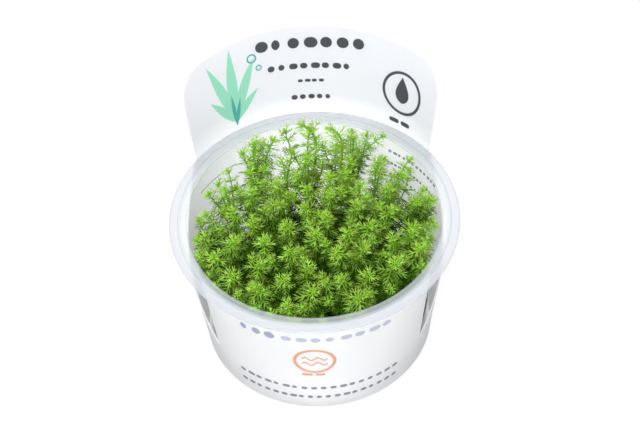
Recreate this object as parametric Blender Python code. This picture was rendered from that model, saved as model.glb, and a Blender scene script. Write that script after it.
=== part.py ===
"""Guyana milfoil in an open culture cup with a white card sleeve.

The plants stand in a disc of nutrient gel at the bottom of a clear cup. A white card wraps the cup: a low band
goes all the way round, a front panel reaches up under the flange, and a back panel passes outside the flange and
rises behind the plants as a header with round shoulders. The space between the two panels is an open side window.

Metres, +Z up. The origin is at the middle of the cup's underside, and the header stands on the +Y side.
"""
import math
import random

import bmesh
import bpy
from mathutils import Vector
from mathutils.geometry import delaunay_2d_cdt

# cup
FLANGE_RADIUS = 0.0500
FLANGE_TOP = 0.0552
FLANGE_THICKNESS = 0.0009
LIP_OUTER_RADIUS = 0.0472
LIP_HEIGHT = 0.0007
LIP_STEPS = 4
CUP_INNER_TOP_RADIUS = 0.0439
CUP_INNER_BASE_RADIUS = 0.0382
CUP_WALL = 0.0009
CUP_BASE_THICKNESS = 0.0012
CUP_FOOT_ROUND = 0.0022
CUP_SEGMENTS = 54

# card sleeve
CARD_THICKNESS = 0.0005
SLEEVE_BASE_RADIUS = 0.0402
SLEEVE_RIM_RADIUS = 0.0459
FRONT_PANEL_TOP = 0.0536
FRONT_HALF_ANGLE = math.radians(56.3)
WINDOW_FOOT = 0.0152
BACK_HALF_WIDTH = 0.0484
FLANGE_CLEARANCE = 0.0004
LEAN_START = 0.0100
HEADER_TOP = 0.0899
HEADER_CORNER = 0.0130
HEADER_TOP_ARC = 0.1300
HEADER_SPREAD = 0.45
HEADER_SPREAD_GROWTH = 25.0
CARD_COLUMN = 0.0062
CARD_ROW = 0.0120

# gel and shoots
GEL_TOP = 0.0130
GEL_SEGMENTS = 36
CONTACT_GAP = 0.0003
SHOOT_COUNT = 52
SHOOT_SEED = 11
STEM_RADIUS = 0.00055
STEM_SIDES = 4
WHORL_RADIUS = 0.0045
WHORL_RISE = 0.0013
WHORL_THICKNESS = 0.0016
WHORLS = 5
WHORL_SPREAD = 0.62
CROWN_POINT = 0.0021
CROWN_FIELD_RADIUS = 0.0362
CROWN_FIELD_WIDTH = 1.055
CROWN_FIELD_Y = -0.0023
CROWN_BACK_LIMIT = 0.0317
ROOT_SHARE = 0.84
CANOPY_HEIGHT = 0.0555
CANOPY_DOME = 0.0035
CANOPY_UNEVENNESS = 0.0024
REAR_START = 0.0120
REAR_RISE = 0.0028
REAR_UNEVENNESS = 0.0048
TALLEST_RISE = 0.0090
TALLEST_HALF_WIDTH = 0.0085

TURN = 2.0 * math.pi


def clear_scene():
    """Remove every object that the scene holds."""
    for thing in list(bpy.data.objects):
        bpy.data.objects.remove(thing, do_unlink=True)


def make_material(name, colour, roughness, transmission=0.0):
    """A Principled material with one colour."""
    material = bpy.data.materials.new(name)
    material.use_nodes = True
    shader = material.node_tree.nodes["Principled BSDF"]
    shader.inputs["Base Color"].default_value = (*colour, 1.0)
    shader.inputs["Roughness"].default_value = roughness
    shader.inputs["Metallic"].default_value = 0.0
    shader.inputs["Transmission Weight"].default_value = transmission
    material.diffuse_color = (*colour, 1.0)
    return material


def add_object(name, mesh, material, sharp_angle=None):
    """Link a mesh to the scene as a named object."""
    mesh.materials.append(material)
    if sharp_angle is not None:
        mesh.shade_smooth()
        mesh.set_sharp_from_angle(angle=sharp_angle)
    thing = bpy.data.objects.new(name, mesh)
    bpy.context.collection.objects.link(thing)
    return thing


def arc(centre, radius, start, end, steps):
    """Points of a circular arc in a profile plane, angles in degrees."""
    points = []
    for step in range(steps + 1):
        angle = math.radians(start + (end - start) * step / steps)
        points.append((centre[0] + radius * math.cos(angle), centre[1] + radius * math.sin(angle)))
    return points


def turned_mesh(name, profile, segments):
    """Turn a profile of (radius, height) pairs about Z; it starts and ends on the axis."""
    mesh = bpy.data.meshes.new(name)
    shape = bmesh.new()
    start = shape.verts.new((0.0, 0.0, profile[0][1]))
    end = shape.verts.new((0.0, 0.0, profile[-1][1]))
    rings = []
    for radius, height in profile[1:-1]:
        ring = []
        for segment in range(segments):
            angle = TURN * segment / segments
            ring.append(shape.verts.new((radius * math.cos(angle), radius * math.sin(angle), height)))
        rings.append(ring)
    for segment in range(segments):
        after = (segment + 1) % segments
        shape.faces.new((start, rings[0][segment], rings[0][after]))
        shape.faces.new((end, rings[-1][after], rings[-1][segment]))
        for lower, upper in zip(rings, rings[1:]):
            shape.faces.new((lower[segment], upper[segment], upper[after], lower[after]))
    bmesh.ops.recalc_face_normals(shape, faces=shape.faces[:])
    shape.to_mesh(mesh)
    shape.free()
    return mesh


def cup_inner_radius(height):
    """Inner radius of the cup's tapered wall at a height."""
    share = (height - CUP_BASE_THICKNESS) / (FLANGE_TOP - CUP_BASE_THICKNESS)
    return CUP_INNER_BASE_RADIUS + (CUP_INNER_TOP_RADIUS - CUP_INNER_BASE_RADIUS) * share


def build_cup(material):
    """The clear cup: flat base, tapered wall, rounded lip and flat flange."""
    outer_foot = cup_inner_radius(0.0) + CUP_WALL
    flange_under = FLANGE_TOP - FLANGE_THICKNESS
    outer_neck = cup_inner_radius(flange_under) + CUP_WALL
    lip_middle = (CUP_INNER_TOP_RADIUS + LIP_OUTER_RADIUS) / 2
    lip_half = (LIP_OUTER_RADIUS - CUP_INNER_TOP_RADIUS) / 2
    profile = [(0.0, 0.0)]
    profile += arc((outer_foot - CUP_FOOT_ROUND, CUP_FOOT_ROUND), CUP_FOOT_ROUND, -90, 0, 3)
    profile += [(outer_neck, flange_under), (FLANGE_RADIUS, flange_under), (FLANGE_RADIUS, FLANGE_TOP)]
    for step in range(LIP_STEPS + 1):
        angle = math.pi * step / LIP_STEPS
        profile.append((lip_middle + lip_half * math.cos(angle), FLANGE_TOP + LIP_HEIGHT * math.sin(angle)))
    inner_foot = cup_inner_radius(CUP_BASE_THICKNESS)
    inner_round = CUP_FOOT_ROUND - CUP_WALL
    profile += arc((inner_foot - inner_round, CUP_BASE_THICKNESS + inner_round), inner_round, 0, -90, 3)
    profile.append((0.0, CUP_BASE_THICKNESS))
    return add_object("cup", turned_mesh("cup", profile, CUP_SEGMENTS), material, math.radians(35))


def build_gel(material):
    """The disc of gel that the shoots are rooted in."""
    foot = CUP_BASE_THICKNESS + CONTACT_GAP
    round_radius = CUP_FOOT_ROUND
    foot_radius = cup_inner_radius(foot) - CONTACT_GAP
    profile = [(0.0, foot)]
    profile += arc((foot_radius - round_radius, foot + round_radius), round_radius, -90, 0, 2)
    profile += [(cup_inner_radius(GEL_TOP) - CONTACT_GAP, GEL_TOP), (0.0, GEL_TOP)]
    return add_object("gel", turned_mesh("gel", profile, GEL_SEGMENTS), material, math.radians(35))


def smooth_step(low, high, value):
    """0 below low, 1 above high, and a smooth rise between."""
    share = min(max((value - low) / (high - low), 0.0), 1.0)
    return share * share * (3.0 - 2.0 * share)


def cone_radius(height):
    """Radius of the card's middle surface where it follows the cup."""
    return SLEEVE_BASE_RADIUS + (SLEEVE_RIM_RADIUS - SLEEVE_BASE_RADIUS) * height / FRONT_PANEL_TOP


NECK_RADIUS = FLANGE_RADIUS + FLANGE_CLEARANCE + CARD_THICKNESS / 2
LEAN_RUN = FLANGE_TOP - LEAN_START
LEAN_PUSH = NECK_RADIUS - cone_radius(FLANGE_TOP)
LEAN_POWER = 1.15
HEADER_LEAN = (SLEEVE_RIM_RADIUS - SLEEVE_BASE_RADIUS) / FRONT_PANEL_TOP + LEAN_POWER * LEAN_PUSH / LEAN_RUN
BACK_HALF_ANGLE = BACK_HALF_WIDTH / NECK_RADIUS


def card_point(angle, height):
    """A point of the card's middle surface; the angle is measured from the middle of the back."""
    if height <= FLANGE_TOP:
        share = 1.0 - smooth_step(BACK_HALF_ANGLE, math.pi - FRONT_HALF_ANGLE, abs(angle))
        climb = max(height - LEAN_START, 0.0) / LEAN_RUN
        radius = cone_radius(height) + share * LEAN_PUSH * climb ** LEAN_POWER
        return Vector((radius * math.sin(angle), radius * math.cos(angle), height))
    rise = height - FLANGE_TOP
    radius = NECK_RADIUS + HEADER_SPREAD * rise + HEADER_SPREAD_GROWTH * rise * rise
    bend = angle * NECK_RADIUS / radius
    middle = NECK_RADIUS + HEADER_LEAN * rise
    return Vector((radius * math.sin(bend), middle - radius * (1.0 - math.cos(bend)), height))


def window_edge(share):
    """Height of the slanting lower edge of a side window, from the front panel (0) to the back panel (1)."""
    return WINDOW_FOOT + (FLANGE_TOP - WINDOW_FOOT) * (0.80 * share + 0.20 * share ** 7)


def header_outline():
    """The right half of the header from its neck to its top, as (arc length, height)."""
    crown_angle = math.asin((BACK_HALF_WIDTH - HEADER_CORNER) / (HEADER_TOP_ARC - HEADER_CORNER))
    crown_centre = HEADER_TOP - HEADER_TOP_ARC
    corner_x = BACK_HALF_WIDTH - HEADER_CORNER
    corner_z = crown_centre + (HEADER_TOP_ARC - HEADER_CORNER) * math.cos(crown_angle)
    points = []
    straight_rows = 2
    for row in range(straight_rows):
        points.append((BACK_HALF_WIDTH, FLANGE_TOP + (corner_z - FLANGE_TOP) * row / straight_rows))
    points += arc((corner_x, corner_z), HEADER_CORNER, 0, 90 - math.degrees(crown_angle), 5)
    crown_steps = 5
    for step in range(1, crown_steps + 1):
        angle = crown_angle * (1.0 - step / crown_steps)
        points.append((HEADER_TOP_ARC * math.sin(angle), crown_centre + HEADER_TOP_ARC * math.cos(angle)))
    return points


def card_outline():
    """The flat outline of the whole card as (angle, height), opened at the middle of the front."""
    front_edge = math.pi - FRONT_HALF_ANGLE
    front_steps = 9
    window_steps = 8
    base_steps = 58
    side_rows = 3
    half = [(math.pi, FRONT_PANEL_TOP)]
    for step in range(1, front_steps + 1):
        half.append((math.pi - FRONT_HALF_ANGLE * step / front_steps, FRONT_PANEL_TOP))
    for row in range(1, side_rows + 1):
        height = FRONT_PANEL_TOP + (WINDOW_FOOT - FRONT_PANEL_TOP) * row / side_rows
        half.append((front_edge, height))
    for step in range(1, window_steps):
        share = step / window_steps
        half.append((front_edge + (BACK_HALF_ANGLE - front_edge) * share, window_edge(share)))
    for length, height in header_outline():
        half.append((length / NECK_RADIUS, height))
    mirrored = [(-angle, height) for angle, height in reversed(half[:-1])]
    base = [(-math.pi + TURN * step / base_steps, 0.0) for step in range(base_steps + 1)]
    seam = [FRONT_PANEL_TOP * row / 4 for row in (3, 2, 1)]
    outline = base + [(math.pi, height) for height in reversed(seam)]
    return outline + half + mirrored + [(-math.pi, height) for height in seam]


def inside(point, outline):
    """Whether a flat point lies inside a closed outline."""
    within = False
    for (ax, ay), (bx, by) in zip(outline, outline[1:] + outline[:1]):
        if (ay > point[1]) != (by > point[1]):
            if point[0] < ax + (point[1] - ay) * (bx - ax) / (by - ay):
                within = not within
    return within


def clear_of_outline(point, outline, distance):
    """Whether a flat point keeps a distance from every corner of an outline."""
    return all(math.hypot(point[0] - x, point[1] - y) > distance for x, y in outline)


def build_card(material):
    """The card sleeve: a flat outline, filled, bent round the cup and thickened."""
    scale = SLEEVE_RIM_RADIUS
    outline = [(angle * scale, height) for angle, height in card_outline()]
    inner = []
    columns = round(TURN * scale / CARD_COLUMN)
    for row in range(1, int(HEADER_TOP / CARD_ROW) + 1):
        for column in range(columns):
            shift = 0.25 + 0.5 * (row % 2)
            point = (-math.pi * scale + TURN * scale * (column + shift) / columns, row * CARD_ROW)
            if inside(point, outline) and clear_of_outline(point, outline, 0.6 * CARD_COLUMN):
                inner.append(point)
    ring = [(index, (index + 1) % len(outline)) for index in range(len(outline))]
    flat = [Vector(point) for point in outline + inner]
    points, _, faces, _, _, _ = delaunay_2d_cdt(flat, ring, [], 1, 1e-7)
    shape = bmesh.new()
    verts = [shape.verts.new(card_point(point.x / scale, point.y)) for point in points]
    for face in faces:
        shape.faces.new([verts[index] for index in face])
    bmesh.ops.remove_doubles(shape, verts=shape.verts[:], dist=1e-6)
    bmesh.ops.recalc_face_normals(shape, faces=shape.faces[:])
    mesh = bpy.data.meshes.new("card_sleeve")
    shape.to_mesh(mesh)
    shape.free()
    card = add_object("card_sleeve", mesh, material, math.radians(35))
    solid = card.modifiers.new("card thickness", "SOLIDIFY")
    solid.thickness = CARD_THICKNESS
    solid.offset = 0.0
    return card


def spread_crowns(count, radius, seed):
    """Places for the crowns of the shoots, pushed apart until they fill a disc evenly."""
    source = random.Random(seed)
    places = []
    for index in range(count):
        angle = index * TURN * 0.381966
        reach = radius * math.sqrt((index + 0.5) / count)
        jitter = 0.12 * radius
        places.append([reach * math.cos(angle) + jitter * (source.random() - 0.5),
                       reach * math.sin(angle) + jitter * (source.random() - 0.5)])
    wish = 1.02 * radius * math.sqrt(TURN / (count * math.sqrt(3.0)))
    for _ in range(60):
        moves = [[0.0, 0.0] for _ in places]
        for i, first in enumerate(places):
            for j, second in enumerate(places):
                gap = math.hypot(first[0] - second[0], first[1] - second[1])
                if i == j or gap > wish or gap < 1e-9:
                    continue
                push = 0.25 * (wish - gap) / gap
                moves[i][0] += push * (first[0] - second[0])
                moves[i][1] += push * (first[1] - second[1])
        for place, move in zip(places, moves):
            place[0] += move[0]
            place[1] += move[1]
            reach = math.hypot(place[0], place[1])
            if reach > radius:
                place[0] *= radius / reach
                place[1] *= radius / reach
            place[1] = min(place[1], CROWN_BACK_LIMIT - CROWN_FIELD_Y)
    return [(x * CROWN_FIELD_WIDTH, y + CROWN_FIELD_Y) for x, y in places]


def crown_height(place, source):
    """Height of a shoot's tip: a low dome, with loose taller shoots at the back."""
    reach = math.hypot(place[0], place[1] - CROWN_FIELD_Y) / CROWN_FIELD_RADIUS
    height = CANOPY_HEIGHT + CANOPY_DOME * (1.0 - reach ** 2) + CANOPY_UNEVENNESS * (source.random() - 0.5)
    rear = smooth_step(REAR_START, CROWN_BACK_LIMIT, place[1])
    height += rear * (REAR_RISE + REAR_UNEVENNESS * source.random())
    if abs(place[0]) < TALLEST_HALF_WIDTH:
        height += TALLEST_RISE * rear ** 2
    return height


def shoot_mesh(name, root, crown, whorl_radius, turn):
    """A stem with whorls; each leaf of a whorl is a spike drawn out of one side of the stem."""
    shape = bmesh.new()
    length = crown.z - root.z
    rings = []

    def axis(height):
        share = (height - root.z) / length
        bow = share * (0.6 + 0.4 * share)
        return Vector((root.x + (crown.x - root.x) * bow, root.y + (crown.y - root.y) * bow, height))

    def add_ring(height, twist, radius):
        centre = axis(height)
        ring = []
        for side in range(STEM_SIDES):
            angle = twist + TURN * side / STEM_SIDES
            ring.append(shape.verts.new(centre + Vector((radius * math.cos(angle), radius * math.sin(angle), 0))))
        rings.append(ring)
        return ring

    last = add_ring(root.z, turn, STEM_RADIUS)
    shape.faces.new(list(reversed(last)))
    spacing = WHORL_SPREAD * length / WHORLS
    for whorl in range(WHORLS):
        twist = turn + whorl * math.pi / STEM_SIDES
        top = crown.z - CROWN_POINT - (WHORLS - 1 - whorl) * spacing
        low = add_ring(top - WHORL_THICKNESS, twist, STEM_RADIUS)
        high = add_ring(top, twist, STEM_RADIUS)
        for side in range(STEM_SIDES):
            after = (side + 1) % STEM_SIDES
            shape.faces.new((last[side], last[after], low[after], low[side]))
            angle = twist + TURN * (side + 0.5) / STEM_SIDES
            reach = Vector((math.cos(angle), math.sin(angle), 0)) * whorl_radius
            tip = shape.verts.new(axis(top) + reach + Vector((0, 0, WHORL_RISE)))
            corners = (low[side], low[after], high[after], high[side])
            for first, second in zip(corners, corners[1:] + corners[:1]):
                shape.faces.new((first, second, tip))
        last = high
    peak = shape.verts.new(crown)
    for side in range(STEM_SIDES):
        shape.faces.new((last[side], last[(side + 1) % STEM_SIDES], peak))
    bmesh.ops.recalc_face_normals(shape, faces=shape.faces[:])
    mesh = bpy.data.meshes.new(name)
    shape.to_mesh(mesh)
    shape.free()
    return mesh


def build_shoots(material):
    """Every shoot, from its root on the gel to its crown in the canopy."""
    source = random.Random(SHOOT_SEED)
    places = spread_crowns(SHOOT_COUNT, CROWN_FIELD_RADIUS, SHOOT_SEED)
    places.sort(key=lambda place: (round(place[1], 4), place[0]))
    shoots = []
    for index, place in enumerate(places):
        nearest = min(math.hypot(place[0] - other[0], place[1] - other[1])
                      for other in places if other is not place)
        wall_room = CUP_INNER_TOP_RADIUS - math.hypot(place[0], place[1]) - 2 * CONTACT_GAP
        whorl_radius = min(WHORL_RADIUS, nearest * 0.46 - CONTACT_GAP, wall_room)
        root = Vector((place[0] * ROOT_SHARE, place[1] * ROOT_SHARE, GEL_TOP + CONTACT_GAP))
        crown = Vector((place[0], place[1], crown_height(place, source)))
        name = f"shoot_{index + 1:02d}"
        mesh = shoot_mesh(name, root, crown, whorl_radius, TURN * source.random())
        shoots.append(add_object(name, mesh, material))
    return shoots


def main():
    """Build every piece."""
    clear_scene()
    clear_plastic = make_material("clear plastic", (0.86, 0.90, 0.92), 0.08, 0.9)
    white_card = make_material("white card", (0.90, 0.91, 0.93), 0.45)
    clear_gel = make_material("clear gel", (0.62, 0.68, 0.52), 0.15, 0.8)
    leaf_green = make_material("milfoil green", (0.20, 0.42, 0.06), 0.5)
    build_cup(clear_plastic)
    build_gel(clear_gel)
    build_card(white_card)
    build_shoots(leaf_green)


main()
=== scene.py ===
"""Guyana milfoil in an open culture cup: the finished look of every piece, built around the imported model.

The plants are feathery shoots rooted in a disc of clear gel. A clear flanged cup holds them, and a white
printed card is wrapped round it: a front panel under the flange, an open window at each side, and a back
panel that rises behind the plants as a header with round shoulders.

Metres, +Z up. The origin is at the middle of the cup's underside, and the header stands on the +Y side.
"""

import logging
import math
import random
from dataclasses import dataclass, field, fields
from enum import Enum
from typing import Callable, ClassVar, Iterable, Optional, Sequence, Union

import bmesh
import bpy
import numpy as np
from mathutils import Matrix, Quaternion, Vector
from mathutils.geometry import delaunay_2d_cdt


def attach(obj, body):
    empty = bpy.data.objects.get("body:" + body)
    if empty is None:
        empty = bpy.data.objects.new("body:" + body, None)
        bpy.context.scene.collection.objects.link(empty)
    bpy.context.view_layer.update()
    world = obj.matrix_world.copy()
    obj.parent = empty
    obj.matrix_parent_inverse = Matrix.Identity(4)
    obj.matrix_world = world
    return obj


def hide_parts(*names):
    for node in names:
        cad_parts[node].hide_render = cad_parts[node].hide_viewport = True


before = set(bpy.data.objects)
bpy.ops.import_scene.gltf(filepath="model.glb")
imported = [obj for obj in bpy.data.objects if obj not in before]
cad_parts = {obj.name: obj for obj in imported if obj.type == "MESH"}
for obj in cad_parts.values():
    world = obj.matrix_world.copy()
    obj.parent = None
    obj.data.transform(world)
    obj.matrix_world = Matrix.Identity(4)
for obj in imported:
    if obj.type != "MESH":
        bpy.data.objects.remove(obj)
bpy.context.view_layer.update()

LOG = logging.getLogger("milfoil_cup")
BODY = "root"
TURN = 2.0 * math.pi
MILLIMETRE = 0.001
NUMBER = "NodeSocketFloat"
VECTOR = "NodeSocketVector"

Colour = tuple[float, float, float]
Place = tuple[float, float, float]
Profile = list[tuple[float, float]]
Socket = bpy.types.NodeSocket
Feed = Union[Socket, float, Sequence[float]]


class Slot(Enum):
    """The record's material slots."""

    CUP = "clear_plastic"
    CARD = "white_card"
    GEL = "clear_gel"
    PLANT = "milfoil"


class CardFace(Enum):
    """The faces of the card; the value is the face's place in the card's list of materials."""

    OUTSIDE = 0
    INSIDE = 1
    CUT_EDGE = 2


class Tissue(Enum):
    """Kinds of tissue, as the shader tells them apart."""

    ROOT = 0.0
    STEM = 0.3
    LEAF = 1.0


def screen_colour(*levels: float) -> Colour:
    """Turn screen values into a linear colour, by the sRGB curve.

    Args:
        *levels: Red, green and blue, from 0 to 255.

    Returns:
        The colour.
    """
    shares = [level / 255.0 for level in levels]
    return tuple(share / 12.92 if share <= 0.04045 else ((share + 0.055) / 1.055) ** 2.4
                 for share in shares)


def smooth_step(low: float, high: float, value: float) -> float:
    """Give 0 below low, 1 above high, and a smooth rise between."""
    share = min(max((value - low) / (high - low), 0.0), 1.0)
    return share * share * (3.0 - 2.0 * share)


def place_piece(name: str, mesh: bpy.types.Mesh, stands_for: str,
                materials: Iterable[bpy.types.Material]) -> bpy.types.Object:
    """Link a mesh to the scene as a piece that replaces one solid of the model.

    Args:
        name: Name of the new piece.
        mesh: Its mesh, in the model's own coordinates.
        stands_for: Name of the solid that it replaces.
        materials: Its materials, in order.

    Returns:
        The new object.
    """
    for material in materials:
        mesh.materials.append(material)
    piece = bpy.data.objects.new(name, mesh)
    bpy.context.scene.collection.objects.link(piece)
    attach(piece, BODY)
    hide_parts(stands_for)
    return piece


class NodeBench:
    """Adds the nodes of one material or node group and links them."""

    ROW_LENGTH: ClassVar[int] = 12
    STEP: ClassVar[tuple[float, float]] = (180.0, -260.0)

    def __init__(self, tree: bpy.types.NodeTree) -> None:
        """Start on a node tree."""
        self.tree = tree

    def feed(self, socket: Socket, value: Feed) -> None:
        """Link a socket to another, or set its value.

        Args:
            socket: The input socket.
            value: A socket to link, or a value to set.
        """
        if isinstance(value, Socket):
            self.tree.links.new(value, socket)
            return
        if socket.type == "RGBA" and len(value) == 3:
            value = (*value, 1.0)
        socket.default_value = value

    def add(self, kind: str, inputs: Optional[dict[Union[str, int], Feed]] = None,
            **settings: object) -> bpy.types.Node:
        """Add a node.

        Args:
            kind: Blender's name for the type of node.
            inputs: What goes to its input sockets, by name or place.
            **settings: The node's own settings.

        Returns:
            The new node.
        """
        row, column = divmod(len(self.tree.nodes), self.ROW_LENGTH)
        node = self.tree.nodes.new(kind)
        node.location = (self.STEP[0] * column, self.STEP[1] * row)
        for name, value in settings.items():
            setattr(node, name, value)
        for key, value in (inputs or {}).items():
            self.feed(node.inputs[key], value)
        return node

    def math(self, operation: str, *terms: Feed, clamp: bool = False) -> Socket:
        """Add a Math node and give its output."""
        node = self.add("ShaderNodeMath", dict(enumerate(terms)), operation=operation, use_clamp=clamp)
        return node.outputs[0]

    def gap(self, first: Feed, second: Feed) -> Socket:
        """Give how far two numbers are apart."""
        return self.math("ABSOLUTE", self.math("SUBTRACT", first, second))

    def distance(self, across: Socket, up: Socket) -> Socket:
        """Give the length of a way across and up."""
        squares = [self.math("MULTIPLY", part, part) for part in (across, up)]
        return self.math("SQRT", self.math("ADD", *squares))

    def mix(self, share: Feed, first: Feed, second: Feed) -> Socket:
        """Mix two colours, with share as how much of the second shows."""
        return self.add("ShaderNodeMix", {0: share, 6: first, 7: second}, data_type="RGBA").outputs[2]

    def between(self, value: Feed, low: float, high: float, start: float = 0.0, end: float = 1.0) -> Socket:
        """Map a value from the range low to high to the range start to end, kept inside it."""
        return self.add("ShaderNodeMapRange", {0: value, 1: low, 2: high, 3: start, 4: end}).outputs[0]

    def effect(self, name: str, output: str, inputs: dict[str, Feed],
               draw: Callable[..., Socket]) -> Socket:
        """Place a node group that more than one material uses, built the first time.

        Args:
            name: Name of the group.
            output: Name of its one output.
            inputs: What goes to its inputs, by name; the one called Place is a vector.
            draw: Adds the group's nodes, given its bench and its inputs, and gives what goes out.

        Returns:
            The output of the group's node.
        """
        group = bpy.data.node_groups.get(name)
        if group is None:
            group = bpy.data.node_groups.new(name, "ShaderNodeTree")
            for key in inputs:
                kind = VECTOR if key == "Place" else NUMBER
                group.interface.new_socket(key, in_out="INPUT", socket_type=kind)
            group.interface.new_socket(output, in_out="OUTPUT", socket_type=NUMBER)
            bench = NodeBench(group)
            source, result = bench.add("NodeGroupInput"), bench.add("NodeGroupOutput")
            bench.feed(result.inputs[0], draw(bench, *source.outputs[:len(inputs)]))
        return self.add("ShaderNodeGroup", inputs, node_tree=group).outputs[0]


class Ink(Enum):
    """The inks of the card's printing."""

    CHARCOAL = screen_colour(84, 84, 90)
    SLATE = screen_colour(120, 124, 138)
    STEEL = screen_colour(128, 136, 150)
    DUSK = screen_colour(146, 149, 164)
    LAVENDER = screen_colour(176, 178, 208)
    PALE_LAVENDER = screen_colour(202, 204, 224)
    SALMON = screen_colour(238, 176, 146)
    MINT = screen_colour(158, 222, 196)
    TEAL = screen_colour(86, 176, 170)


@dataclass(frozen=True)
class Mark:
    """Something printed on the card: its ink, and sizes in millimetres that feed its node group by name."""

    GROUP: ClassVar[str] = ""
    SOFT_EDGE: ClassVar[float] = 0.10

    ink: Ink

    def sizes(self) -> dict[str, float]:
        """Give the value of each number input of the node group."""
        return {size.name.replace("_", " ").title(): getattr(self, size.name)
                for size in fields(self)[1:]}

    @classmethod
    def fill(cls, bench: NodeBench, outside: Socket) -> Socket:
        """Turn a distance outside the shape into a mask with a fine soft edge."""
        return bench.between(outside, -cls.SOFT_EDGE, cls.SOFT_EDGE, 1.0, 0.0)

    @staticmethod
    def offset(bench: NodeBench, place: Socket, x: Socket, y: Socket) -> list[Socket]:
        """Give how far a place on the card is across and up from x and y."""
        axes = bench.add("ShaderNodeSeparateXYZ", {0: place}).outputs
        return [bench.math("SUBTRACT", axis, start) for axis, start in zip(axes, (x, y))]

    @classmethod
    def draw(cls, bench: NodeBench, place: Socket, *sizes: Socket) -> Socket:
        """Draw the shape inside its node group.

        Args:
            bench: The group's bench.
            place: The place on the card.
            *sizes: The group's number inputs, in the order of the fields.

        Returns:
            The mask of the shape.
        """
        raise NotImplementedError

    def mask(self, bench: NodeBench, place: Socket) -> Socket:
        """Place the mark's node group in a material and give its mask."""
        return bench.effect(self.GROUP, "Mask", {"Place": place, **self.sizes()}, self.draw)


@dataclass(frozen=True)
class DashRow(Mark):
    """A row of round-ended dashes of uneven length, in place of a line of print."""

    GROUP: ClassVar[str] = "dash row"
    SHORTEST: ClassVar[float] = 0.52
    LONGEST: ClassVar[float] = 0.86

    left: float
    right: float
    middle: float
    half_height: float
    pitch: float
    seed: float

    def sizes(self) -> dict[str, float]:
        """Give the inputs' values, with the pitch fitted so that every dash is whole.

        Returns:
            The values by name.
        """
        width = self.right - self.left
        pitch = width / round(width / self.pitch) if self.pitch < width else self.pitch
        return {**super().sizes(), "Pitch": pitch}

    @classmethod
    def draw(cls, bench: NodeBench, place: Socket, *sizes: Socket) -> Socket:
        """Draw dashes that start a pitch apart, each as long as its own draw says.

        Args:
            bench: The group's bench.
            place: The place on the card.
            *sizes: Left, right, middle, half height, pitch and seed.

        Returns:
            The mask of the dashes.
        """
        left, right, middle, half_height, pitch, seed = sizes
        axes = bench.add("ShaderNodeSeparateXYZ", {0: place}).outputs
        run = bench.math("SUBTRACT", axes[0], left)
        cell = bench.math("FLOOR", bench.math("DIVIDE", run, pitch))
        noise = bench.add("ShaderNodeTexWhiteNoise", {"W": bench.math("ADD", cell, seed)},
                          noise_dimensions="1D")
        share = bench.between(noise.outputs["Value"], 0.0, 1.0, cls.SHORTEST, cls.LONGEST)
        half_length = bench.math("MULTIPLY", bench.math("MULTIPLY", pitch, share), 0.5)
        across = bench.gap(run, bench.math("MULTIPLY_ADD", cell, pitch, half_length))
        straight = bench.math("SUBTRACT", half_length, half_height)
        beyond = bench.math("MAXIMUM", bench.math("SUBTRACT", across, straight), 0.0)
        away = bench.distance(beyond, bench.math("SUBTRACT", axes[1], middle))
        within = bench.math("MULTIPLY", bench.math("GREATER_THAN", run, -cls.SOFT_EDGE),
                            bench.math("LESS_THAN", axes[0], right))
        return bench.math("MULTIPLY", cls.fill(bench, bench.math("SUBTRACT", away, half_height)), within)


@dataclass(frozen=True)
class Ring(Mark):
    """A printed ring."""

    GROUP: ClassVar[str] = "print ring"

    x: float
    y: float
    radius: float
    line: float

    @classmethod
    def draw(cls, bench: NodeBench, place: Socket, *sizes: Socket) -> Socket:
        """Draw a round line.

        Args:
            bench: The group's bench.
            place: The place on the card.
            *sizes: Centre x and y, radius and width of line.

        Returns:
            The mask of the line.
        """
        x, y, radius, line = sizes
        off = bench.gap(bench.distance(*cls.offset(bench, place, x, y)), radius)
        return cls.fill(bench, bench.math("SUBTRACT", off, bench.math("MULTIPLY", line, 0.5)))


@dataclass(frozen=True)
class Blade(Mark):
    """A printed pointed blade, its turn in degrees from upright; a low fullness makes it a drop."""

    GROUP: ClassVar[str] = "print blade"
    FINE_POINT: ClassVar[float] = 0.08

    x: float
    y: float
    length: float
    half_width: float
    turn: float
    fullness: float = 0.9
    bend: float = 0.0

    def sizes(self) -> dict[str, float]:
        """Give the inputs' values, with the turn in radians."""
        return {**super().sizes(), "Turn": math.radians(self.turn)}

    @classmethod
    def draw(cls, bench: NodeBench, place: Socket, *sizes: Socket) -> Socket:
        """Draw a shape that widens and narrows along its length, and bends to one side.

        Args:
            bench: The group's bench.
            place: The place on the card.
            *sizes: Foot x and y, length, half width, turn, fullness and bend.

        Returns:
            The mask of the blade.
        """
        x, y, length, half_width, turn, fullness, bend = sizes
        dx, dy = cls.offset(bench, place, x, y)
        sine, cosine = bench.math("SINE", turn), bench.math("COSINE", turn)
        along = bench.math("ADD", bench.math("MULTIPLY", dx, sine), bench.math("MULTIPLY", dy, cosine))
        across = bench.math("SUBTRACT", bench.math("MULTIPLY", dx, cosine), bench.math("MULTIPLY", dy, sine))
        share = bench.math("DIVIDE", along, length, clamp=True)
        lean = bench.math("MULTIPLY", bend, bench.math("MULTIPLY", share, share))
        width = bench.math("SINE", bench.math("MULTIPLY", bench.math("POWER", share, fullness), math.pi))
        outside = bench.math("SUBTRACT", bench.gap(across, lean), bench.math("MULTIPLY", width, half_width))
        return cls.fill(bench, bench.math("ADD", outside, cls.FINE_POINT))


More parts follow.
